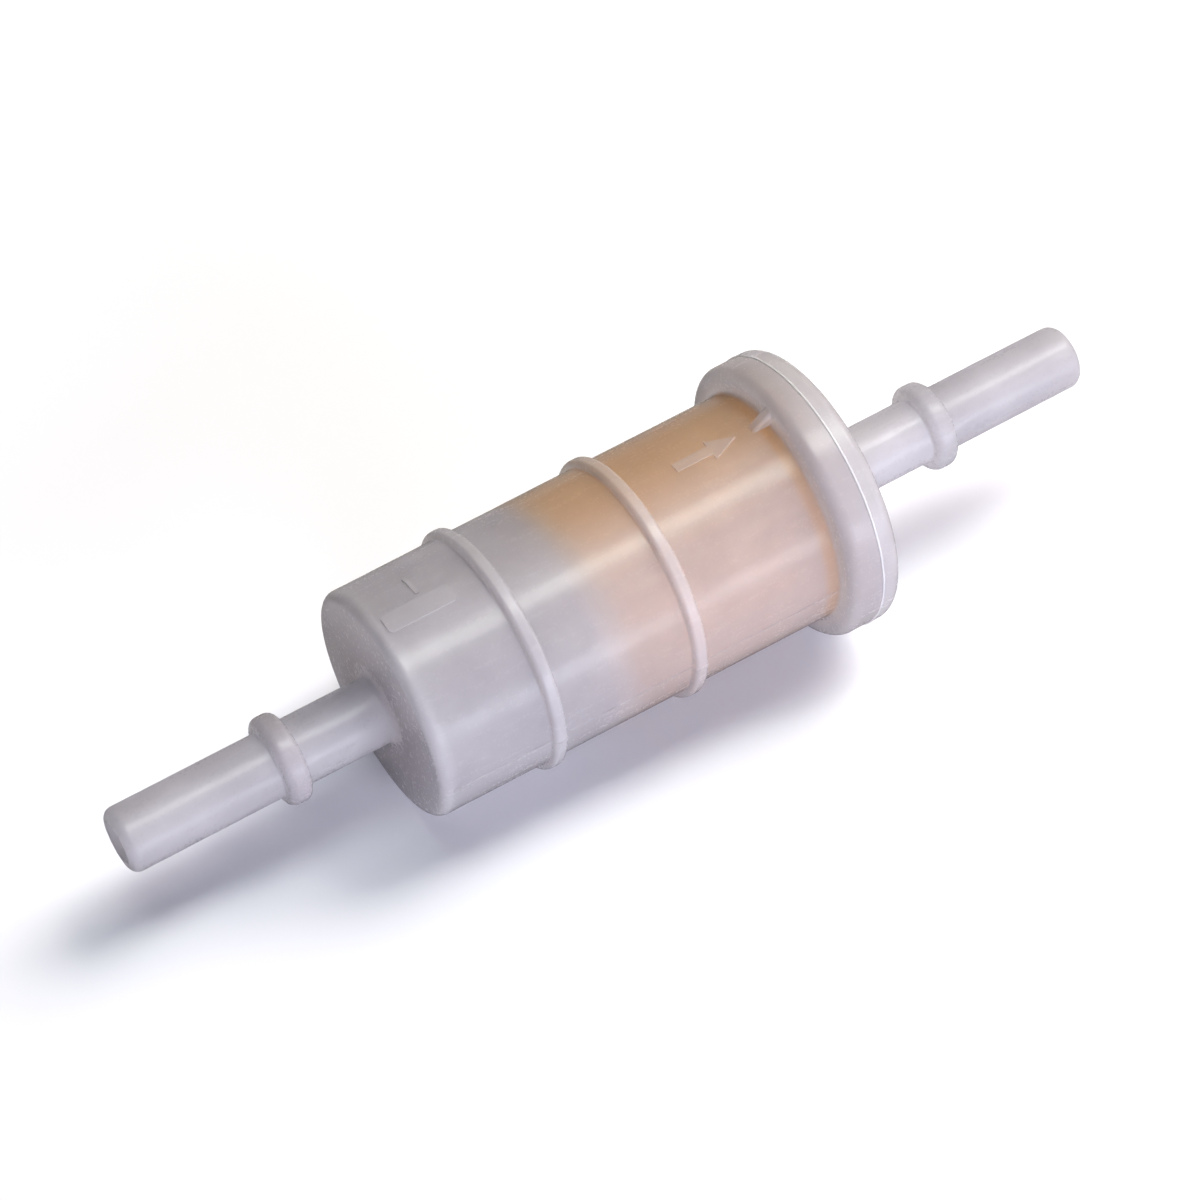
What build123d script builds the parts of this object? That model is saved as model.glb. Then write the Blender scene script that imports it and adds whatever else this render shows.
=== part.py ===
from build123d import *

import math
import os

# In-line fuel filter for a small outboard or garden engine.
#
# A translucent nylon cup and a cap are welded together at a flange. Each carries a
# quick-connect stem for a 5/16 in fuel line. A pleated paper element sits in the
# outlet half of the cup: fuel enters at -X, fills the empty inlet half, passes
# inwards through the pleats into a perforated tube, and leaves through the cap.
#
# Frame: millimetres, origin on the axis half way between the two stem tips, +X along
# the flow from inlet to outlet, +Z up on the flow arrow's side. The mould's parting
# line lies in the XY plane.

# ---- Driving dimensions -------------------------------------------------------------

LENGTH = 129.0  # stem tip to stem tip
INLET_TIP_X = -LENGTH / 2
OUTLET_TIP_X = LENGTH / 2

# Quick-connect stem, the same at both ends
STEM_RADIUS = 3.97
STEM_BORE_RADIUS = 2.5
STEM_NOSE_ROUND = 1.2
TIP_TO_BEAD = 20.6
BEAD_RADIUS = 5.45
BEAD_WIDTH = 3.0
BEAD_ROUND = 1.1
BEAD_ROOT_ROUND = 0.25
NECK_RADIUS = 4.05

# Cup
CUP_FACE_X = -31.1
CUP_FRONT_RADIUS = 14.13  # the wall has mould draft: it widens towards the flange
CUP_REAR_RADIUS = 14.49
CUP_FACE_ROUND = 1.3
NECK_ROOT_ROUND = 1.0
WALL = 1.5
CUP_INNER_ROUND = 1.0

# Hoop ribs on the cup
RIB_XS = (-16.2, 2.5)
RIB_HEIGHT = 0.88
RIB_BASE_WIDTH = 1.9
RIB_TOP_WIDTH = 1.6
RIB_TOP_ROUND = 0.6
RIB_ROOT_ROUND = 0.2

# Flange: the cup's half, the weld and the cap's half
FLANGE_X = 21.9
SEAM_X = 25.8
CAP_FACE_X = 28.4
FLANGE_RADIUS = 17.5
FLANGE_STEP = 0.08  # the cup's half is this much smaller
FLANGE_ROUND = 1.36
FLANGE_ROOT_ROUND = 0.5
WELD_THICKNESS = 0.3
WELD_INNER_RADIUS = 13.6
WELD_FLASH = 0.05  # the weld stands this proud of the flange
WELD_FLASH_ROUND = 0.12

# Small raised features of the cup's mould
PARTING_RIDGE_WIDTH = 0.24
PARTING_RIDGE_HEIGHT = 0.1
GUSSET_LENGTH = 2.5
GUSSET_TOP_RADIUS = 16.4
GUSSET_WIDTH = 1.4
GUSSET_ROUND = 0.4
MARK_HEIGHT = 0.15
ARROW_Y = 1.3  # the gusset is in line with the arrow
ARROW_TAIL_X = 9.2
ARROW_TIP_X = 17.4
ARROW_HEAD_LENGTH = 3.4
ARROW_HEAD_WIDTH = 3.0
ARROW_SHAFT_WIDTH = 1.3
PANEL_X = -25.0
PANEL_Y = 0.3
PANEL_LENGTH = 8.6
PANEL_WIDTH = 2.6
PANEL_ROUND = 0.5
TICK_X = -24.0
TICK_Y = 3.8
TICK_LENGTH = 3.1
TICK_WIDTH = 0.5

# Inside of the cap
SPIGOT_LENGTH = 3.1
SPIGOT_CLEARANCE = 0.09
SPIGOT_WALL = 1.4
SOCKET_RADIUS = 4.6
SOCKET_LENGTH = 3.0
SOCKET_WALL = 1.8
SOCKET_FLOOR = 0.05  # the socket's floor is this far inside the cap's inner face

# Pleated element
PLEAT_COUNT = 28
PAPER_THICKNESS = 0.35
PLEAT_OUTER_RADIUS = 11.3
PLEAT_INNER_RADIUS = 5.35
OUTER_FOLD_RADIUS = 0.35  # to the middle of the paper
INNER_FOLD_RADIUS = 0.33
ELEMENT_FRONT_X = -8.2  # outer face of the closed end plate
ELEMENT_REAR_X = 22.3  # outer face of the open end plate
PLATE_THICKNESS = 1.3
PLATE_RADIUS = 12.1
PLATE_SKIRT = 1.6
PLATE_SKIRT_WALL = 0.6
PLATE_ROUND = 0.35
CENTRING_LUG_COUNT = 4
CENTRING_LUG_WIDTH = 1.5
CENTRING_LUG_CLEARANCE = 0.09
ADHESIVE_DEPTH = 1.4
PAPER_EMBEDMENT = 0.8

# Perforated tube that keeps the pleats from collapsing
CORE_RADIUS = 5.0
CORE_WALL = 0.8
CORE_PLUG_LENGTH = 1.5
CORE_PLUG_CLEARANCE = 0.08
CORE_HOLE_RADIUS = 1.1
CORE_HOLES_AROUND = 6
CORE_HOLES_ALONG = 8
CORE_HOLE_PITCH = 2.8

# Collar of the open end plate, and the seal around it
COLLAR_RADIUS = 4.5
COLLAR_BORE_RADIUS = 2.6
COLLAR_LENGTH = 3.6
GROOVE_RADIUS = 3.5
GROOVE_X = 24.25
GROOVE_WIDTH = 1.7
SEAL_WIDTH = 1.6

# Clip that closes the pleated sheet into a ring
CLIP_THICKNESS = 0.25
CLIP_LEG = 2.2
CLIP_MARGIN = 0.4  # from the clip's ends to the end plates' skirts

# ---- Derived values -----------------------------------------------------------------

CUP_INNER_FRONT_RADIUS = CUP_FRONT_RADIUS - WALL
CUP_INNER_REAR_RADIUS = CUP_REAR_RADIUS - WALL
CUP_END_X = SEAM_X - WELD_THICKNESS / 2
CAP_INNER_X = SEAM_X + WELD_THICKNESS / 2
PLATE_FRONT_INNER_X = ELEMENT_FRONT_X + PLATE_THICKNESS
PLATE_REAR_INNER_X = ELEMENT_REAR_X - PLATE_THICKNESS
CORE_BORE_RADIUS = CORE_RADIUS - CORE_WALL
SKIRT_BORE_RADIUS = PLATE_RADIUS - PLATE_SKIRT_WALL
PAPER_FRONT_X = PLATE_FRONT_INNER_X + ADHESIVE_DEPTH - PAPER_EMBEDMENT
PAPER_REAR_X = PLATE_REAR_INNER_X - ADHESIVE_DEPTH + PAPER_EMBEDMENT
PLEAT_PITCH = 2 * math.pi / PLEAT_COUNT
OUTER_FOLD_CENTRE_RADIUS = PLEAT_OUTER_RADIUS - OUTER_FOLD_RADIUS - PAPER_THICKNESS / 2
INNER_FOLD_CENTRE_RADIUS = PLEAT_INNER_RADIUS + INNER_FOLD_RADIUS + PAPER_THICKNESS / 2
GUSSET_TILT = math.degrees(math.asin(ARROW_Y / CUP_REAR_RADIUS))  # from +Z towards +Y
OVERLAP = 0.3  # how far an added feature reaches into the wall it grows from


def cup_radius(x):
    """Outer radius of the cup's drafted wall at x."""
    share = (x - CUP_FACE_X) / (FLANGE_X - CUP_FACE_X)
    return CUP_FRONT_RADIUS + share * (CUP_REAR_RADIUS - CUP_FRONT_RADIUS)


def cup_inner_radius(x):
    """Inner radius of the cup's drafted wall at x."""
    return cup_radius(x) - WALL


# ---- Helpers ------------------------------------------------------------------------


def outline(corners):
    """A face from (x, y, round) corners: each corner is rounded by its own radius."""
    points = [(x, y) for x, y, _ in corners]
    rounds = [r for _, _, r in corners]
    return make_face(FilletPolyline(*points, radius=rounds, close=True))


def turned(corners):
    """A solid of revolution about X from (x, radius, round) corners."""
    return revolve(outline(corners), Axis.X)


def ring(x_start, x_end, inner_radius, outer_radius):
    """A plain ring or tube about X."""
    return turned(
        [
            (x_start, inner_radius, 0),
            (x_start, outer_radius, 0),
            (x_end, outer_radius, 0),
            (x_end, inner_radius, 0),
        ]
    )


def stem_corners(tip_x, inward):
    """Corners of a quick-connect stem from its bore over the nose and bead to the
    neck. inward is +1 if the stem's body lies towards +X of its tip, else -1."""
    bead_x = tip_x + inward * TIP_TO_BEAD
    near = bead_x - inward * BEAD_WIDTH / 2
    far = bead_x + inward * BEAD_WIDTH / 2
    return [
        (tip_x, STEM_BORE_RADIUS, 0.2),
        (tip_x, STEM_RADIUS, STEM_NOSE_ROUND),
        (near, STEM_RADIUS, BEAD_ROOT_ROUND),
        (near, BEAD_RADIUS, BEAD_ROUND),
        (far, BEAD_RADIUS, BEAD_ROUND),
        (far, NECK_RADIUS, BEAD_ROOT_ROUND),
    ]


def rib_corners(x, height):
    """Corners of one hoop rib on the cup's wall."""
    base, top = RIB_BASE_WIDTH / 2, RIB_TOP_WIDTH / 2
    radius = cup_radius(x)
    return [
        (x - base, cup_radius(x - base), RIB_ROOT_ROUND),
        (x - top, radius + height, RIB_TOP_ROUND),
        (x + top, radius + height, RIB_TOP_ROUND),
        (x + base, cup_radius(x + base), RIB_ROOT_ROUND),
    ]


# ---- Housing ------------------------------------------------------------------------


def raised_mark(face):
    """A flat face in the XY plane, raised from the top of the cup's wall."""
    prism = extrude(Pos(0, 0, CUP_INNER_FRONT_RADIUS) * face, 2 * WALL)
    skin = turned(
        [
            (CUP_FACE_X, CUP_FRONT_RADIUS - OVERLAP, 0),
            (CUP_FACE_X, CUP_FRONT_RADIUS + MARK_HEIGHT, 0),
            (FLANGE_X, CUP_REAR_RADIUS + MARK_HEIGHT, 0),
            (FLANGE_X, CUP_REAR_RADIUS - OVERLAP, 0),
        ]
    )
    return prism & skin


def flow_arrow():
    """Raised arrow that points from the inlet to the outlet."""
    shaft = ARROW_SHAFT_WIDTH / 2
    head = ARROW_HEAD_WIDTH / 2
    neck_x = ARROW_TIP_X - ARROW_HEAD_LENGTH
    arrow = Polyline(
        (ARROW_TAIL_X, -shaft),
        (neck_x, -shaft),
        (neck_x, -head),
        (ARROW_TIP_X, 0),
        (neck_x, head),
        (neck_x, shaft),
        (ARROW_TAIL_X, shaft),
        close=True,
    )
    return raised_mark(Pos(0, ARROW_Y) * make_face(arrow))


def blank_panel():
    """Raised blank panel where a maker would mould a part code."""
    plate = RectangleRounded(PANEL_LENGTH, PANEL_WIDTH, PANEL_ROUND)
    return raised_mark(Pos(PANEL_X, PANEL_Y) * plate)


def index_tick():
    """Short raised tick beside the blank panel."""
    return raised_mark(Pos(TICK_X, TICK_Y) * Rectangle(TICK_WIDTH, TICK_LENGTH))


def parting_ridge():
    """Thin witness lines that the mould's two halves leave along both sides."""
    start, end = CUP_FACE_X + CUP_FACE_ROUND, FLANGE_X + OVERLAP
    height = PARTING_RIDGE_HEIGHT
    corners = [(start, cup_inner_radius(start) + OVERLAP, 0)]
    corners.append((start, cup_radius(start) + height, 0))
    for x in RIB_XS:
        for corner_x, radius, rounding in rib_corners(x, RIB_HEIGHT):
            corners.append((corner_x, radius + height, rounding))
    corners.append((end, cup_radius(end) + height, 0))
    corners.append((end, cup_inner_radius(end) + OVERLAP, 0))
    ridge = extrude(outline(corners), PARTING_RIDGE_WIDTH / 2, both=True)
    return ridge + mirror(ridge, Plane.XZ)


def gusset():
    """Triangular web between the cup's wall and its flange, in line with the arrow."""
    foot_x = FLANGE_X - GUSSET_LENGTH
    foot = cup_radius(foot_x)
    web = make_face(
        Polyline(
            (foot_x, foot - OVERLAP),
            (foot_x, foot),
            (FLANGE_X, GUSSET_TOP_RADIUS),
            (FLANGE_X + OVERLAP, GUSSET_TOP_RADIUS),
            (FLANGE_X + OVERLAP, foot - OVERLAP),
            close=True,
        )
    )
    flat = extrude(web, GUSSET_WIDTH / 2, both=True)
    slopes = flat.edges().sort_by(SortBy.LENGTH)[-2:]
    return Rot(90 - GUSSET_TILT, 0, 0) * fillet(slopes, GUSSET_ROUND)


def housing_cup():
    """Inlet stem, cup, hoop ribs and the cup's half of the flange, in one moulding."""
    corners = stem_corners(INLET_TIP_X, 1)
    corners.append((CUP_FACE_X, NECK_RADIUS, NECK_ROOT_ROUND))
    corners.append((CUP_FACE_X, CUP_FRONT_RADIUS, CUP_FACE_ROUND))
    for x in RIB_XS:
        corners.extend(rib_corners(x, RIB_HEIGHT))
    flange_radius = FLANGE_RADIUS - FLANGE_STEP
    corners.extend(
        [
            (FLANGE_X, CUP_REAR_RADIUS, FLANGE_ROOT_ROUND),
            (FLANGE_X, flange_radius, FLANGE_ROUND),
            (CUP_END_X, flange_radius, 0),
            (CUP_END_X, CUP_INNER_REAR_RADIUS, 0.2),
            (CUP_FACE_X + WALL, CUP_INNER_FRONT_RADIUS, CUP_INNER_ROUND),
            (CUP_FACE_X + WALL, STEM_BORE_RADIUS, 0.4),
        ]
    )
    shell = turned(corners)
    for feature in (parting_ridge(), gusset(), flow_arrow(), blank_panel(), index_tick()):
        shell += feature
    return shell


def housing_cap():
    """Outlet stem, the cap's half of the flange, the spigot that centres it in the
    cup, and the socket that takes the element's collar."""
    spigot_radius = CUP_INNER_REAR_RADIUS - SPIGOT_CLEARANCE
    spigot_bore = spigot_radius - SPIGOT_WALL
    socket_outside = SOCKET_RADIUS + SOCKET_WALL
    corners = stem_corners(OUTLET_TIP_X, -1)
    corners.extend(
        [
            (CAP_FACE_X, NECK_RADIUS, NECK_ROOT_ROUND),
            (CAP_FACE_X, FLANGE_RADIUS, FLANGE_ROUND),
            (CAP_INNER_X, FLANGE_RADIUS, 0),
            (CAP_INNER_X, spigot_radius, 0),
            (CAP_INNER_X - SPIGOT_LENGTH, spigot_radius, 0.3),
            (CAP_INNER_X - SPIGOT_LENGTH, spigot_bore, 0.3),
            (CAP_INNER_X, spigot_bore, 0.4),
            (CAP_INNER_X, socket_outside, 0.4),
            (CAP_INNER_X - SOCKET_LENGTH, socket_outside, 0.2),
            (CAP_INNER_X - SOCKET_LENGTH, SOCKET_RADIUS, 0.3),
            (CAP_INNER_X + SOCKET_FLOOR, SOCKET_RADIUS, 0),
            (CAP_INNER_X + SOCKET_FLOOR, STEM_BORE_RADIUS, 0),
        ]
    )
    return turned(corners)


def flange_weld():
    """Ring of nylon that melted and joined the two halves of the flange."""
    outside = FLANGE_RADIUS + WELD_FLASH
    return turned(
        [
            (CUP_END_X, WELD_INNER_RADIUS, 0),
            (CUP_END_X, outside, WELD_FLASH_ROUND),
            (CAP_INNER_X, outside, WELD_FLASH_ROUND),
            (CAP_INNER_X, WELD_INNER_RADIUS, 0),
        ]
    )


# ---- Filter element -----------------------------------------------------------------


def polar(radius, angle):
    """Point in the element's cross-section; angle 0 is local X."""
    return Vector(radius * math.cos(angle), radius * math.sin(angle), 0)


def flank(outer_angle, side, outer_fold, inner_fold):
    """The straight run of paper from the outer fold at outer_angle to the inner fold
    half a pitch away. Returns its ends and its normal."""
    outer_centre = polar(OUTER_FOLD_CENTRE_RADIUS, outer_angle)
    inner_angle = outer_angle + side * PLEAT_PITCH / 2
    inner_centre = polar(INNER_FOLD_CENTRE_RADIUS, inner_angle)
    span = inner_centre - outer_centre
    along = span.normalized()
    across = Vector(along.Y, -along.X, 0) * side
    sine = (outer_fold + inner_fold) / span.length
    normal = along * sine + across * math.sqrt(1 - sine * sine)
    return outer_centre + normal * outer_fold, inner_centre - normal * inner_fold, normal


def pleat_loop(outer_fold, inner_fold):
    """Closed star-shaped wire with rounded folds of the given radii."""
    edges = []
    for index in range(PLEAT_COUNT):
        angle = index * PLEAT_PITCH
        next_angle = angle + PLEAT_PITCH
        left_top, _, _ = flank(angle, -1, outer_fold, inner_fold)
        right_top, right_bottom, _ = flank(angle, 1, outer_fold, inner_fold)
        next_top, next_bottom, _ = flank(next_angle, -1, outer_fold, inner_fold)
        crest = polar(OUTER_FOLD_CENTRE_RADIUS + outer_fold, angle)
        valley = polar(INNER_FOLD_CENTRE_RADIUS - inner_fold, angle + PLEAT_PITCH / 2)
        edges.append(ThreePointArc(left_top, crest, right_top))
        edges.append(Line(right_top, right_bottom))
        edges.append(ThreePointArc(right_bottom, valley, next_bottom))
        edges.append(Line(next_bottom, next_top))
    return Wire(edges)


def lengthwise(face, x_start, x_end):
    """Extrudes a cross-section from x_start to x_end; its local X becomes +Y."""
    return extrude(Plane.YZ.offset(x_start) * face, x_end - x_start, dir=(1, 0, 0))


def filter_paper():
    """One pleated sheet, closed into a star-shaped ring."""
    half = PAPER_THICKNESS / 2
    outside = pleat_loop(OUTER_FOLD_RADIUS + half, INNER_FOLD_RADIUS - half)
    inside = pleat_loop(OUTER_FOLD_RADIUS - half, INNER_FOLD_RADIUS + half)
    return lengthwise(Face(outside, [inside]), PAPER_FRONT_X, PAPER_REAR_X)


def seam_clip():
    """Folded tinplate strip that grips the sheet's two ends, on the lowest pleat."""
    half = PAPER_THICKNESS / 2
    angle = -math.pi / 2  # the lowest pleat: PLEAT_COUNT is a multiple of four
    inner_fold = INNER_FOLD_RADIUS - half
    gripped = OUTER_FOLD_RADIUS + half
    left, left_foot, left_normal = flank(angle, -1, gripped, inner_fold)
    right, right_foot, right_normal = flank(angle, 1, gripped, inner_fold)
    left_end = left + (left_foot - left).normalized() * CLIP_LEG
    right_end = right + (right_foot - right).normalized() * CLIP_LEG
    crest = polar(OUTER_FOLD_CENTRE_RADIUS + gripped, angle)
    crest_out = polar(OUTER_FOLD_CENTRE_RADIUS + gripped + CLIP_THICKNESS, angle)
    left_shift, right_shift = left_normal * CLIP_THICKNESS, right_normal * CLIP_THICKNESS
    section = Wire(
        [
            Line(left_end, left),
            ThreePointArc(left, crest, right),
            Line(right, right_end),
            Line(right_end, right_end + right_shift),
            Line(right_end + right_shift, right + right_shift),
            ThreePointArc(right + right_shift, crest_out, left + left_shift),
            Line(left + left_shift, left_end + left_shift),
            Line(left_end + left_shift, left_end),
        ]
    )
    start = PLATE_FRONT_INNER_X + PLATE_SKIRT + CLIP_MARGIN
    end = PLATE_REAR_INNER_X - PLATE_SKIRT - CLIP_MARGIN
    return lengthwise(Face(section), start, end)


def support_core():
    """Perforated tube inside the pleats."""
    tube = ring(PLATE_FRONT_INNER_X, PLATE_REAR_INNER_X, CORE_BORE_RADIUS, CORE_RADIUS)
    middle = (PLATE_FRONT_INNER_X + PLATE_REAR_INNER_X) / 2
    first = middle - (CORE_HOLES_ALONG - 1) * CORE_HOLE_PITCH / 2
    drill = Cylinder(CORE_HOLE_RADIUS, 3 * CORE_RADIUS)  # crosses both walls
    for row in range(CORE_HOLES_ALONG):
        for turn in range(CORE_HOLES_AROUND // 2):
            angle = turn * 360 / CORE_HOLES_AROUND
            tube -= Pos(first + row * CORE_HOLE_PITCH, 0, 0) * Rot(angle, 0, 0) * drill
    return tube


def closed_end_plate():
    """Blank cup at the inlet end of the element, with a plug that centres the tube
    and lugs that centre the element in the housing."""
    plug_radius = CORE_BORE_RADIUS - CORE_PLUG_CLEARANCE
    face_x, inner_x = ELEMENT_FRONT_X, PLATE_FRONT_INNER_X
    plate = turned(
        [
            (face_x, 0, 0),
            (face_x, PLATE_RADIUS, PLATE_ROUND),
            (inner_x + PLATE_SKIRT, PLATE_RADIUS, 0),
            (inner_x + PLATE_SKIRT, SKIRT_BORE_RADIUS, 0),
            (inner_x, SKIRT_BORE_RADIUS, 0),
            (inner_x, plug_radius, 0),
            (inner_x + CORE_PLUG_LENGTH, plug_radius, 0.3),
            (inner_x + CORE_PLUG_LENGTH, 0, 0),
        ]
    )
    lug_reach = cup_inner_radius(face_x) - CENTRING_LUG_CLEARANCE
    lug_root = SKIRT_BORE_RADIUS + PLATE_SKIRT_WALL / 2
    lug = Pos(inner_x, (lug_root + lug_reach) / 2, 0) * Box(
        PLATE_SKIRT, lug_reach - lug_root, CENTRING_LUG_WIDTH
    )
    for index in range(CENTRING_LUG_COUNT):
        plate += Rot(45 + index * 360 / CENTRING_LUG_COUNT, 0, 0) * lug
    return plate


def open_end_plate():
    """Ring at the outlet end of the element. Its collar carries the seal and plugs
    into the cap's socket."""
    plug_radius = CORE_BORE_RADIUS - CORE_PLUG_CLEARANCE
    face_x, inner_x = ELEMENT_REAR_X, PLATE_REAR_INNER_X
    groove_start, groove_end = GROOVE_X - GROOVE_WIDTH / 2, GROOVE_X + GROOVE_WIDTH / 2
    return turned(
        [
            (inner_x - CORE_PLUG_LENGTH, COLLAR_BORE_RADIUS, 0.2),
            (inner_x - CORE_PLUG_LENGTH, plug_radius, 0.2),
            (inner_x, plug_radius, 0),
            (inner_x, SKIRT_BORE_RADIUS, 0),
            (inner_x - PLATE_SKIRT, SKIRT_BORE_RADIUS, 0),
            (inner_x - PLATE_SKIRT, PLATE_RADIUS, 0),
            (face_x, PLATE_RADIUS, PLATE_ROUND),
            (face_x, COLLAR_RADIUS, 0.2),
            (groove_start, COLLAR_RADIUS, 0),
            (groove_start, GROOVE_RADIUS, 0),
            (groove_end, GROOVE_RADIUS, 0),
            (groove_end, COLLAR_RADIUS, 0),
            (face_x + COLLAR_LENGTH, COLLAR_RADIUS, 0.2),
            (face_x + COLLAR_LENGTH, COLLAR_BORE_RADIUS, 0.2),
        ]
    )


def adhesive_bed(plate_x, inward, paper):
    """Ring of potting adhesive poured into an end plate around the paper's end."""
    far_x = plate_x + inward * ADHESIVE_DEPTH
    bed = ring(min(plate_x, far_x), max(plate_x, far_x), CORE_RADIUS, SKIRT_BORE_RADIUS)
    return bed - paper


def outlet_seal():
    """Ring seal, squeezed between the collar's groove and the cap's socket."""
    section_height = SOCKET_RADIUS - GROOVE_RADIUS
    rounding = section_height / 2 - 0.02  # all but a half circle at each end
    start, end = GROOVE_X - SEAL_WIDTH / 2, GROOVE_X + SEAL_WIDTH / 2
    return turned(
        [
            (start, GROOVE_RADIUS, rounding),
            (start, SOCKET_RADIUS, rounding),
            (end, SOCKET_RADIUS, rounding),
            (end, GROOVE_RADIUS, rounding),
        ]
    )


# ---- Assembly -----------------------------------------------------------------------


def main():
    paper = filter_paper()
    nodes = {
        "housing_cup": housing_cup(),
        "housing_cap": housing_cap(),
        "flange_weld": flange_weld(),
        "filter_paper": paper,
        "seam_clip": seam_clip(),
        "support_core": support_core(),
        "closed_end_plate": closed_end_plate(),
        "open_end_plate": open_end_plate(),
        "closed_end_adhesive": adhesive_bed(PLATE_FRONT_INNER_X, 1, paper),
        "open_end_adhesive": adhesive_bed(PLATE_REAR_INNER_X, -1, paper),
        "outlet_seal": outlet_seal(),
    }
    os.makedirs("parts", exist_ok=True)
    for name, shape in nodes.items():
        export_step(shape, f"parts/{name}.step")


main()
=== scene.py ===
import math

import bpy
from mathutils import Matrix, Vector


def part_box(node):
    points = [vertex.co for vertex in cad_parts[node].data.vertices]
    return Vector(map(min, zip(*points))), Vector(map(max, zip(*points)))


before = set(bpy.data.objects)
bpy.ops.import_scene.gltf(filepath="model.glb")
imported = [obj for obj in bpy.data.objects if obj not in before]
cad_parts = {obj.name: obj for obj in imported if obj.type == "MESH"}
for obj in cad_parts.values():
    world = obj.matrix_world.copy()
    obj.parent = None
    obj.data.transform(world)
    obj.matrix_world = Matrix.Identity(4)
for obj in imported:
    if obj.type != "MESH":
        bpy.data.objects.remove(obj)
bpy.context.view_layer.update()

MM = 0.001  # metres

# ---- Studio ---------------------------------------------------------------------------

CAMERA_AZIMUTH = -31.47  # degrees; 0 looks along +Y
CAMERA_ELEVATION = 53.99
CAMERA_ROLL = -1.02
CAMERA_DISTANCE = 419.04 * MM
CAMERA_TARGET = Vector((-1.91, -0.22, -0.84)) * MM
CAMERA_LENS_MM = 109.13
SENSOR_MM = 36.0
CAMERA_NEAREST = 0.01  # the range of distances that it sees, in metres
CAMERA_FARTHEST = 20.0

FLOOR_SIZE = 6.0  # metres
FLOOR_GAP = 0.02 * MM
FLOOR_SEEN = (0.93, 0.935, 0.97)  # as the camera sees it
FLOOR_BOUNCE = (0.42, 0.41, 0.42)  # as the filter sees it
FLOOR_MOTTLE = 1.02  # how much lighter its palest patches are
FLOOR_NEAR = 180.0  # the floor starts to fade into the world's white, in millimetres
FLOOR_FAR = 420.0  # and has faded
WORLD_SEEN = (0.97, 0.97, 1.0)

# ---- Places on the filter, in millimetres ---------------------------------------------


def profile(name):
    """x and distance from the axis of every point of a CAD node."""
    points = [v.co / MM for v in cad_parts[name].data.vertices]
    return [(p.x, math.hypot(p.y, p.z)) for p in points]


def span(name, axis=0):
    """Lowest and highest place of a CAD node along an axis."""
    low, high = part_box(name)
    return low[axis] / MM, high[axis] / MM


RIM_RADIUS = span("flange_weld", axis=1)[1]
CUP_FACE_X = min(x for x, radius in profile("housing_cup") if radius > RIM_RADIUS / 2)
CAP_FACE_X = max(x for x, radius in profile("housing_cap") if radius > RIM_RADIUS / 2)
ON_NECK = 10.0  # this far past the cap's face there is only plain neck
BEYOND_BEAD = 20.0  # and this far past it, plain stem
SAME_RADIUS = 0.002  # radii that differ by less than this are one
STEM_RADIUS = max(
    radius for x, radius in profile("housing_cap") if x > CAP_FACE_X + BEYOND_BEAD
)
ELEMENT_X = span("closed_end_plate")[0]
ADHESIVE_X = span("open_end_adhesive")[0]
SEAM_X = sum(span("flange_weld")) / 2
SEAM_HALF_WIDTH = span("flange_weld")[1] - SEAM_X
FLANGE_X = 21.9  # the flange's face towards the cup
WALL_FRONT_RADIUS = 14.13  # the cup's drafted wall at its end face
WALL_REAR_RADIUS = 14.49  # and at the flange


def bead_place():
    """How far from the filter's middle the middle of a bead's crest is."""
    outer = [point for point in profile("housing_cap") if point[0] > CAP_FACE_X + ON_NECK]
    crest = max(radius for x, radius in outer)
    places = [x for x, radius in outer if radius > crest - SAME_RADIUS]
    return (min(places) + max(places)) / 2


BEAD_X = bead_place()

# ---- Node helpers ---------------------------------------------------------------------


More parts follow.
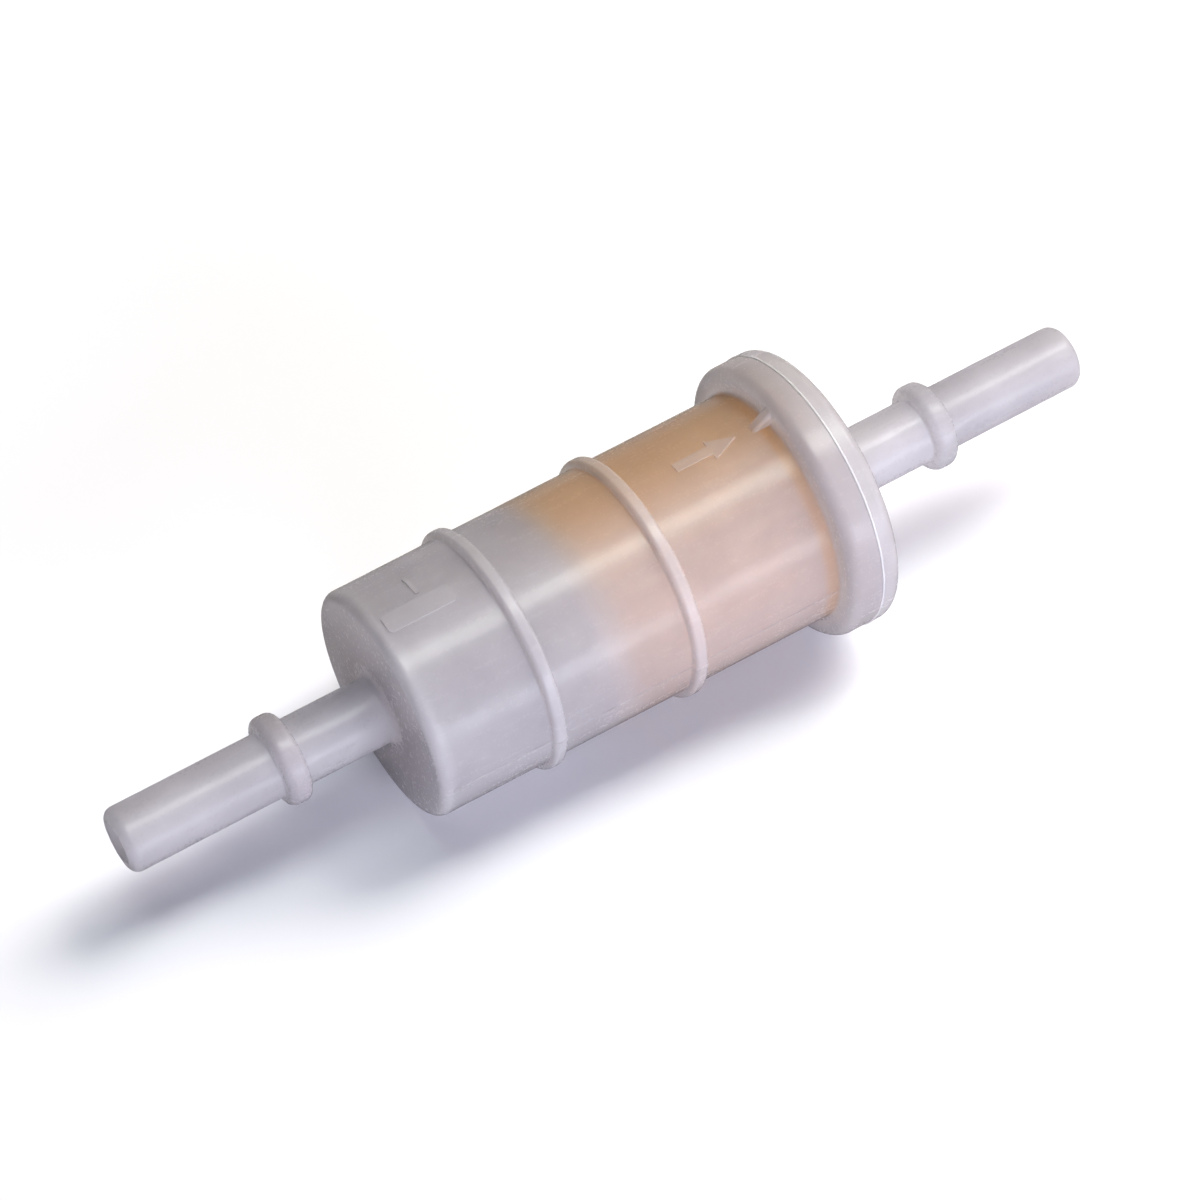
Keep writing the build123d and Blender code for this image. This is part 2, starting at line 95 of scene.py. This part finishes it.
class Graph:
    """A material's node tree, built one node at a time."""

    def __init__(self, name):
        self.material = bpy.data.materials.new(name)
        self.material.use_nodes = True
        self.tree = self.material.node_tree
        self.tree.nodes.clear()
        self.output = self.tree.nodes.new("ShaderNodeOutputMaterial")

    def feed(self, socket, value):
        """Puts a value or another node's output into an input socket."""
        if isinstance(value, bpy.types.NodeSocket):
            self.tree.links.new(value, socket)
        elif isinstance(value, tuple) and len(value) == 3 and socket.type == "RGBA":
            socket.default_value = (*value, 1.0)
        else:
            socket.default_value = value

    def node(self, kind, inputs=None, **settings):
        """A new node with the given settings and inputs."""
        made = self.tree.nodes.new("ShaderNode" + kind)
        for name, value in settings.items():
            setattr(made, name, value)
        for name, value in (inputs or {}).items():
            self.feed(made.inputs[name], value)
        return made

    def math(self, operation, a, b=0.0):
        """A sum, product or other operation on one or two values."""
        return self.node("Math", {0: a, 1: b}, operation=operation).outputs[0]

    def position(self):
        """The point on the surface, in millimetres of the row frame."""
        source = self.node("TexCoord").outputs["Object"]
        scaled = self.node("VectorMath", {0: source, 3: 1 / MM}, operation="SCALE")
        return scaled.outputs[0]

    def split(self, vector):
        """The x, y and z of a vector."""
        made = self.node("SeparateXYZ", {0: vector})
        return made.outputs[0], made.outputs[1], made.outputs[2]

    def stretch(self, vector, factors):
        """The vector with each coordinate times its own factor."""
        made = self.node("VectorMath", {0: vector, 1: factors}, operation="MULTIPLY")
        return made.outputs[0]

    def noise(self, vector, scale, detail=2.0, roughness=0.5):
        """Soft noise around 0.5, with about scale patches to the millimetre."""
        made = self.node(
            "TexNoise",
            {"Vector": vector, "Scale": scale, "Detail": detail, "Roughness": roughness},
        )
        return made.outputs[0]

    def remap(self, value, low, high, to_low, to_high, smooth=False):
        """value between low and high, carried to between to_low and to_high."""
        made = self.node(
            "MapRange",
            {0: value, 1: low, 2: high, 3: to_low, 4: to_high},
            interpolation_type="SMOOTHSTEP" if smooth else "LINEAR",
        )
        return made.outputs[0]

    def blend(self, factor, a, b):
        """Colour between a and b."""
        made = self.node("Mix", data_type="RGBA")
        self.feed(made.inputs[0], factor)
        self.feed(made.inputs[6], a)
        self.feed(made.inputs[7], b)
        return made.outputs[2]

    def bump(self, height, distance_mm, strength=1.0, normal=None):
        """A normal tilted as if height raised the surface by up to distance_mm."""
        inputs = {"Height": height, "Distance": distance_mm * MM, "Strength": strength}
        if normal is not None:
            inputs["Normal"] = normal
        return self.node("Bump", inputs).outputs[0]

    def mix(self, factor, a, b):
        """Shader between a and b."""
        return self.node("MixShader", {0: factor, 1: a, 2: b}).outputs[0]

    def finish(self, shader):
        """The material, with the shader as its surface."""
        self.tree.links.new(shader, self.output.inputs["Surface"])
        return self.material


def dress(node_name, material):
    """Gives a CAD node its finished material."""
    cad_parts[node_name].material_slots[0].material = material


# ---- Materials ------------------------------------------------------------------------

NYLON_IOR = 1.5
PASSED_THIN = 0.78  # share of the light that a thin wall doesn't scatter back
PASSED_THICK = 0.6  # the same for the cup's flange and end face
WELD_PASSED = 0.4  # the same for the weld's edge
CAP_THICKNESS = 0.65  # how far towards PASSED_THICK the cap's flange goes
MARK_THICKNESS = 0.15  # how far towards PASSED_THICK a raised mark goes
CLEAR_SHARE = 0.45  # share of the passed light that isn't spread wide
JOINED_CLEAR = 0.85  # how clear the faces that meet inside the flange are
SATIN = (0.2, 0.3)  # the surface's lowest and highest roughness
STEM_DULLNESS = 0.05  # roughness added on the stems
CLEAR_ROUGHNESS = 0.5
CLOUD_SCALE = 0.16  # patches to the millimetre
GRAIN_SCALE = 3.2
GRAIN_HEIGHT = 0.012  # in millimetres
FLOW_SCALE = 1.4
FLOW_HEIGHT = 0.03
FLOW_STRETCH = (0.12, 1.0, 1.0)  # draws the flow's patches out along the filter

GLOW = ((0.88, 0.865, 0.885), (0.95, 0.94, 0.955))  # tint of what goes through
CLEAN_MILK = ((0.66, 0.645, 0.67), (0.76, 0.745, 0.765))  # least and most cloudy
WELD_MILK = ((0.76, 0.75, 0.77), (0.84, 0.83, 0.85))
# the painted light on the necks and the whiter raised marks blend towards this
WHITENED = (0.93, 0.92, 0.935)
# painted light on the necks, between bead and body
NECK_PAINTED_LIGHT = 0.24
MARK_WHITENING = 0.25
TAN = (0.9, 0.58, 0.26)  # the filter paper, seen through the wall
AMBER = (0.85, 0.43, 0.07)  # the adhesive, seen through the wall
FACE_SHADE = (0.44, 0.38, 0.41)  # painted shade on the end face, round the stem
FACE_SHADE_SHARE = 0.75
# painted shade on the cup's flange, in grey
FLANGE_SHADE_MILK = (0.4, 0.38, 0.41)
FLANGE_SHADE_SHARE = 0.55  # how far the flange's milk goes towards that grey
TAN_LEAN = 0.09  # the tan starts this much sooner for each millimetre towards +Y


def radius_of(g, position):
    """Distance from the filter's axis, in millimetres."""
    _, y, z = g.split(position)
    squares = g.math("ADD", g.math("POWER", y, 2.0), g.math("POWER", z, 2.0))
    return g.math("POWER", squares, 0.5)


def proud_of_wall(g, x, radius):
    """How far a point stands above the cup's drafted wall, in millimetres."""
    wall = g.remap(x, CUP_FACE_X, FLANGE_X, WALL_FRONT_RADIUS, WALL_REAR_RADIUS)
    return g.math("SUBTRACT", radius, wall)


def on_marks(g, x, radius):
    """1 on the raised marks, a little less on the lower parting ridge, and 0 on the wall,
    the ribs' crests and the flange."""
    proud = proud_of_wall(g, x, radius)
    raised = g.remap(proud, 0.03, 0.12, 0, 1)
    not_rib = g.remap(proud, 0.25, 0.5, 1, 0)
    return g.math("MULTIPLY", raised, not_rib)


def on_face(g, x, radius):
    """1 on the cup's end face, 0 on the wall and the stem. The inlet bead, which stands
    out from the stem, mostly counts as part of the face."""
    face = g.remap(x, CUP_FACE_X + 2.6, CUP_FACE_X + 0.3, 0, 1, smooth=True)
    off_stem = g.remap(radius, STEM_RADIUS, STEM_RADIUS + 2.0, 0, 1, smooth=True)
    return g.math("MULTIPLY", face, off_stem)


def cup_passes(g, x, radius):
    """Share of the light that goes through: less where the nylon is thick."""
    flange = g.remap(radius, WALL_REAR_RADIUS, WALL_REAR_RADIUS + 1.0, 0, 1, smooth=True)
    thick = g.math("MAXIMUM", flange, on_face(g, x, radius))
    thick = g.math("MAXIMUM", thick, g.math("MULTIPLY", on_marks(g, x, radius), MARK_THICKNESS))
    return g.remap(thick, 0, 1, PASSED_THIN, PASSED_THICK)


def cap_passes(g, x, radius):
    """Least at the cap's flange and the foot of its neck, and more towards the tip."""
    neck = g.remap(x, CAP_FACE_X + 1.6, CAP_FACE_X + 17.6, 1, 0)
    thick = g.math("MULTIPLY", neck, CAP_THICKNESS)
    return g.remap(thick, 0, 1, PASSED_THIN, PASSED_THICK)


def weld_passes(g, x, radius):
    """Only the weld's outer edge scatters light back."""
    return g.remap(radius, RIM_RADIUS - 0.15, RIM_RADIUS - 0.05, 1, WELD_PASSED)


def joined(g, x, radius):
    """How clear a point is: JOINED_CLEAR on the faces that meet inside the flange, where
    the nylon is one piece, and 0 elsewhere."""
    apart = g.math("ABSOLUTE", g.math("SUBTRACT", x, SEAM_X))
    at_seam = g.remap(apart, SEAM_HALF_WIDTH + 0.02, SEAM_HALF_WIDTH + 0.06, 1, 0)
    inside = g.remap(radius, RIM_RADIUS - 0.2, RIM_RADIUS - 0.1, JOINED_CLEAR, 0)
    return g.math("MULTIPLY", at_seam, inside)


def nylon(name, passes, milk):
    """Natural translucent nylon, satin and a little cloudy. milk gives the colour that it
    scatters back, and passes gives the share of the light that goes through instead."""
    g = Graph(name)
    place = g.position()
    x, _, _ = g.split(place)
    radius = radius_of(g, place)
    cloud = g.noise(place, CLOUD_SCALE, detail=4.0, roughness=0.6)
    grain = g.noise(place, GRAIN_SCALE, detail=3.0)
    flow = g.noise(g.stretch(place, FLOW_STRETCH), FLOW_SCALE, detail=4.0, roughness=0.6)
    cloudy = g.remap(cloud, 0.3, 0.7, 0, 1)

    glow = g.blend(cloudy, *GLOW)
    rough = g.remap(g.math("ADD", grain, flow), 0.7, 1.3, *SATIN)
    stem = g.remap(radius, STEM_RADIUS, STEM_RADIUS + 2.0, STEM_DULLNESS, 0)
    rough = g.math("ADD", rough, stem)
    skin = g.bump(grain, GRAIN_HEIGHT, 0.5)
    skin = g.bump(flow, FLOW_HEIGHT, 0.3, skin)

    colour = milk(g, place, cloudy)
    white = g.node("BsdfDiffuse", {"Color": colour, "Normal": skin}).outputs[0]
    through = g.node("BsdfTranslucent", {"Color": glow, "Normal": skin}).outputs[0]
    clear = g.node(
        "BsdfRefraction",
        {"Color": glow, "Roughness": CLEAR_ROUGHNESS, "IOR": NYLON_IOR, "Normal": skin},
    ).outputs[0]
    body = g.mix(passes(g, x, radius), white, g.mix(CLEAR_SHARE, through, clear))
    shine = g.node("BsdfGlossy", {"Roughness": rough, "Normal": skin}).outputs[0]
    edge = g.node("Fresnel", {"IOR": NYLON_IOR, "Normal": skin}).outputs[0]
    outside = g.math("SUBTRACT", 1.0, g.node("NewGeometry").outputs["Backfacing"])
    surface = g.mix(g.math("MULTIPLY", edge, outside), body, shine)
    nothing = g.node("BsdfTransparent").outputs[0]
    return g.finish(g.mix(joined(g, x, radius), surface, nothing))


def plain_milk(g, place, cloudy):
    """What clean nylon scatters back, with painted light on the necks, between bead and body."""
    x, _, _ = g.split(place)
    clean = g.blend(cloudy, *CLEAN_MILK)
    from_middle = g.math("ABSOLUTE", x)
    before_bead = g.remap(from_middle, BEAD_X - 0.5, BEAD_X + 1.0, 1, 0, smooth=True)
    radius = radius_of(g, place)
    # painted light on the necks
    painted_neck_light = g.remap(radius, STEM_RADIUS + 0.8, STEM_RADIUS + 2.4, NECK_PAINTED_LIGHT, 0)
    return g.blend(g.math("MULTIPLY", before_bead, painted_neck_light), clean, WHITENED)


def weld_milk(g, place, cloudy):
    """The weld is whiter than the mouldings."""
    return g.blend(cloudy, *WELD_MILK)


def tan_from_element_and_light(g, x, y, radius):
    """How much of the element's colour the cup's wall takes on, as painted light and shade: more
    on the +Y side than on the -Y side, and less on what stands out. Also how near it is to amber."""
    leaning_x = g.math("ADD", x, g.math("MULTIPLY", y, TAN_LEAN))
    start = g.remap(leaning_x, ELEMENT_X - 1.4, ELEMENT_X + 3.0, 0, 1, smooth=True)
    # painted light and shade: the tan is paler on the -Y side and stronger on the +Y side
    tan_by_side_light = g.remap(y, -8.5, 5.5, 0.1, 0.76, smooth=True)
    root = g.remap(x, ADHESIVE_X - 0.4, ADHESIVE_X + 1.2, 0, 1, smooth=True)
    # painted light and shade: the amber is paler on the -Y side and stronger on the +Y side
    amber_by_side_light = g.remap(y, -9.0, 2.0, 0.5, 0.95, smooth=True)
    strength = g.math("MAXIMUM", tan_by_side_light, g.math("MULTIPLY", root, amber_by_side_light))
    off_raised = g.remap(proud_of_wall(g, x, radius), 0.03, 0.14, 1, 0.45)
    off_flange = g.remap(proud_of_wall(g, x, radius), 0.1, 1.8, 1, 0.2, smooth=True)
    tan_with_side_light = g.math("MULTIPLY", g.math("MULTIPLY", start, off_flange), strength)
    return g.math("MULTIPLY", tan_with_side_light, off_raised), root


def tinted_milk(g, place, cloudy):
    """The cup's milk: tan where the element is behind it and amber at the open end's adhesive,
    both with painted light and shade, stronger on the +Y side than on the -Y side. Painted shade
    darkens the end face round the stem and greys the flange, and the raised marks are whiter."""
    x, y, _ = g.split(place)
    radius = radius_of(g, place)
    tan_with_side_light, root = tan_from_element_and_light(g, x, y, radius)
    tan = g.blend(root, TAN, AMBER)
    milk = g.blend(tan_with_side_light, plain_milk(g, place, cloudy), tan)
    whitened = g.math("MULTIPLY", on_marks(g, x, radius), MARK_WHITENING)
    milk = g.blend(whitened, milk, WHITENED)
    # painted shade on the end face, darkest round the stem
    shade_near_stem = g.remap(radius, STEM_RADIUS + 1.0, WALL_FRONT_RADIUS - 1.5, FACE_SHADE_SHARE, 0)
    painted_face_shade = g.math("MULTIPLY", on_face(g, x, radius), shade_near_stem)
    milk = g.blend(painted_face_shade, milk, FACE_SHADE)
    # painted shade that greys the cup's flange
    flange = g.remap(proud_of_wall(g, x, radius), 1.0, 2.0, 0, FLANGE_SHADE_SHARE)
    return g.blend(flange, milk, FLANGE_SHADE_MILK)


def paper(name):
    """Resin-treated filter paper, with short fibres along the sheet."""
    g = Graph(name)
    place = g.position()
    fibre = g.noise(g.stretch(place, (0.5, 2.0, 2.0)), 3.0, detail=6.0, roughness=0.7)
    blotch = g.noise(place, 0.35, detail=3.0)
    tan = g.blend(blotch, (0.88, 0.5, 0.16), (0.93, 0.57, 0.2))
    colour = g.blend(g.remap(fibre, 0.35, 0.65, 0, 0.5), tan, (0.96, 0.66, 0.3))
    return g.finish(
        g.node(
            "BsdfPrincipled",
            {
                "Base Color": colour,
                "Roughness": g.remap(fibre, 0.3, 0.7, 0.75, 0.92),
                "Normal": g.bump(fibre, 0.06, 0.6),
            },
        ).outputs[0]
    )


def moulded(name, dark, light, roughness, depth_mm=0.02):
    """Opaque moulded or cured plastic with a faint mottle."""
    g = Graph(name)
    place = g.position()
    mottle = g.noise(place, 0.5, detail=4.0)
    grain = g.noise(place, 4.0, detail=2.0)
    return g.finish(
        g.node(
            "BsdfPrincipled",
            {
                "Base Color": g.blend(mottle, dark, light),
                "Roughness": g.remap(grain, 0.3, 0.7, roughness - 0.07, roughness + 0.07),
                "Normal": g.bump(grain, depth_mm, 0.5),
            },
        ).outputs[0]
    )


def tinplate(name):
    """Thin tinned steel, brushed along its length."""
    g = Graph(name)
    place = g.position()
    brushing = g.noise(g.stretch(place, (0.1, 3.0, 3.0)), 5.0, detail=4.0)
    return g.finish(
        g.node(
            "BsdfPrincipled",
            {
                "Base Color": g.blend(brushing, (0.52, 0.52, 0.5), (0.68, 0.68, 0.66)),
                "Metallic": 1.0,
                "Roughness": g.remap(brushing, 0.3, 0.7, 0.3, 0.45),
                "Normal": g.bump(brushing, 0.01, 0.4),
            },
        ).outputs[0]
    )


def floor_material():
    """Plain pale floor, invisible from below. It sends less light up than it shows, and
    far from the filter it stays as pale as the world behind it."""
    g = Graph("floor")
    place = g.position()
    tone = g.noise(place, 0.004, detail=2.0)
    seen_by_camera = g.node("LightPath").outputs["Is Camera Ray"]
    seen = g.blend(tone, FLOOR_SEEN, tuple(c * FLOOR_MOTTLE for c in FLOOR_SEEN))
    colour = g.blend(seen_by_camera, FLOOR_BOUNCE, seen)
    matte = g.node("BsdfDiffuse", {"Color": colour, "Roughness": 0.6}).outputs[0]
    pale = g.node("Emission", {"Color": WORLD_SEEN, "Strength": seen_by_camera}).outputs[0]
    distance = g.node("VectorMath", {0: place}, operation="LENGTH").outputs["Value"]
    far = g.remap(distance, FLOOR_NEAR, FLOOR_FAR, 0, 1, smooth=True)
    nothing = g.node("BsdfTransparent").outputs[0]
    below = g.node("NewGeometry").outputs["Backfacing"]
    return g.finish(g.mix(below, g.mix(far, matte, pale), nothing))


# ---- Dressing the frame ---------------------------------------------------------------


def dress_all():
    """Every CAD node is shown as it is, in the material that it is made of."""
    dress("housing_cup", nylon("cup_nylon", cup_passes, tinted_milk))
    dress("housing_cap", nylon("cap_nylon", cap_passes, plain_milk))
    dress("flange_weld", nylon("weld_nylon", weld_passes, weld_milk))
    dress("filter_paper", paper("filter_paper"))
    dress("seam_clip", tinplate("tinplate"))
    dress("support_core", moulded("core_plastic", (0.7, 0.66, 0.58), (0.8, 0.76, 0.68), 0.5))
    # painted shade: the closed end plate is as dark as the paper looks in the shade of its pleats
    dress("closed_end_plate", moulded("closed_plate", (0.6, 0.42, 0.26), (0.66, 0.48, 0.31), 0.5))
    dress("open_end_plate", moulded("open_plate", (0.55, 0.24, 0.06), (0.65, 0.3, 0.09), 0.5))
    glue = moulded("potting_adhesive", (0.6, 0.31, 0.1), (0.7, 0.4, 0.15), 0.35, 0.05)
    dress("closed_end_adhesive", glue)
    dress("open_end_adhesive", glue)
    dress("outlet_seal", moulded("seal_rubber", (0.012, 0.012, 0.012), (0.03, 0.03, 0.03), 0.6))


# ---- Stage, lights and camera ---------------------------------------------------------


def floor_tilt():
    """Slope of the floor that the cup lies on, and x and z of the cup's lowest point, in
    metres. The weld stands further out than the cup, and sinks 0.1 mm into that floor."""
    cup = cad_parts["housing_cup"].data
    points = [(v.co.x, v.co.z) for v in cup.vertices]
    on_flange = [(x, z) for x, z in points if x > FLANGE_X * MM]
    flange_x, flange_z = min(on_flange, key=lambda point: point[1])
    # the other contact, on a rib, is what the floor meets first as it swings up
    left = [(x, z) for x, z in points if x < 0]
    slope = min((z - flange_z) / (flange_x - x) for x, z in left)
    return slope, flange_x, flange_z


def build_floor():
    """A plain square, tilted so that the filter lies on it."""
    slope, x, z = floor_tilt()
    half = FLOOR_SIZE / 2
    mesh = bpy.data.meshes.new("floor")
    corners = [(-half, -half, 0), (half, -half, 0), (half, half, 0), (-half, half, 0)]
    mesh.from_pydata(corners, [], [(0, 1, 2, 3)])
    floor = bpy.data.objects.new("floor", mesh)
    bpy.context.scene.collection.objects.link(floor)
    floor.data.materials.append(floor_material())
    floor.location = (x, 0, z - FLOOR_GAP)
    floor.rotation_euler = (0, math.atan(slope), 0)


def area_light(name, direction, distance, size, power, colour, gives):
    """Rectangular soft light, its long side along the filter. direction points from the
    filter to the light, distance and size are in metres and power is in watts. gives is
    "shine" for a light that only makes highlights and "fill" for one that makes none."""
    light = bpy.data.lights.new(name, "AREA")
    light.shape = "RECTANGLE"
    light.size, light.size_y = size
    light.energy = power
    light.color = colour
    made = bpy.data.objects.new(name, light)
    bpy.context.scene.collection.objects.link(made)
    back = Vector(direction).normalized()
    across = back.cross(Vector((1, 0, 0))).normalized()
    made.matrix_world = Matrix.Translation(back * distance) @ Matrix(
        (across.cross(back), across, back)
    ).transposed().to_4x4()
    made.visible_glossy = gives != "fill"
    made.visible_diffuse = gives != "shine"
    made.visible_transmission = gives != "shine"


def build_world():
    """White as the camera sees it; it sheds no light of its own."""
    world = bpy.data.worlds.new("studio")
    bpy.context.scene.world = world
    world.use_nodes = True
    tree = world.node_tree
    tree.nodes.clear()
    out = tree.nodes.new("ShaderNodeOutputWorld")
    shine = tree.nodes.new("ShaderNodeBackground")
    path = tree.nodes.new("ShaderNodeLightPath")
    shine.inputs["Color"].default_value = (*WORLD_SEEN, 1.0)
    tree.links.new(path.outputs["Is Camera Ray"], shine.inputs["Strength"])
    tree.links.new(shine.outputs[0], out.inputs["Surface"])


def build_lights():
    """Three fills and two long strips, which draw the highlights along the barrel."""
    area_light(
        "overhead",
        direction=(0.31, 0.05, 0.94),
        distance=0.9,
        size=(1.2, 0.3),
        power=4.7,
        colour=(0.92, 1.0, 0.96),
        gives="fill",
    )
    area_light(
        "corner",
        direction=(0.7, 0.15, 0.7),
        distance=0.5,
        size=(0.5, 0.3),
        power=3.27,
        colour=(1.0, 0.905, 0.845),
        gives="fill",
    )
    area_light(
        "front",
        direction=(0.0, -1.0, 0.05),
        distance=1.0,
        size=(1.2, 0.5),
        power=32.7,
        colour=(0.838, 0.843, 1.0),
        gives="fill",
    )
    area_light(
        "high_strip",
        direction=(0.318, -0.112, 0.941),
        distance=0.9,
        size=(1.2, 0.2),
        power=6.4,
        colour=(0.95, 1.0, 0.92),
        gives="shine",
    )
    area_light(
        "low_strip",
        direction=(0.318, -0.941, 0.112),
        distance=1.0,
        size=(1.2, 0.22),
        power=3.2,
        colour=(0.85, 0.93, 1.0),
        gives="shine",
    )


def build_camera():
    """The scene's camera, aimed at CAMERA_TARGET and then rolled."""
    data = bpy.data.cameras.new("camera")
    data.lens = CAMERA_LENS_MM
    data.sensor_width = SENSOR_MM
    camera = bpy.data.objects.new("camera", data)
    bpy.context.scene.collection.objects.link(camera)
    turn, lift = math.radians(CAMERA_AZIMUTH), math.radians(CAMERA_ELEVATION)
    back = Vector(
        (math.sin(turn) * math.cos(lift), -math.cos(turn) * math.cos(lift), math.sin(lift))
    )
    level = (-back).to_track_quat("-Z", "Y").to_matrix().to_4x4()
    roll = Matrix.Rotation(math.radians(CAMERA_ROLL), 4, "Z")
    place = Matrix.Translation(CAMERA_TARGET + back * CAMERA_DISTANCE)
    camera.matrix_world = place @ level @ roll
    data.clip_start = CAMERA_NEAREST
    data.clip_end = CAMERA_FARTHEST
    bpy.context.scene.camera = camera


def set_look():
    """Plain colours, and enough bounces for light to pass both walls and the element."""
    scene = bpy.context.scene
    scene.view_settings.view_transform = "Standard"
    scene.cycles.max_bounces = 16
    scene.cycles.diffuse_bounces = 8
    scene.cycles.transmission_bounces = 16


dress_all()
build_floor()
build_world()
build_lights()
build_camera()
set_look()
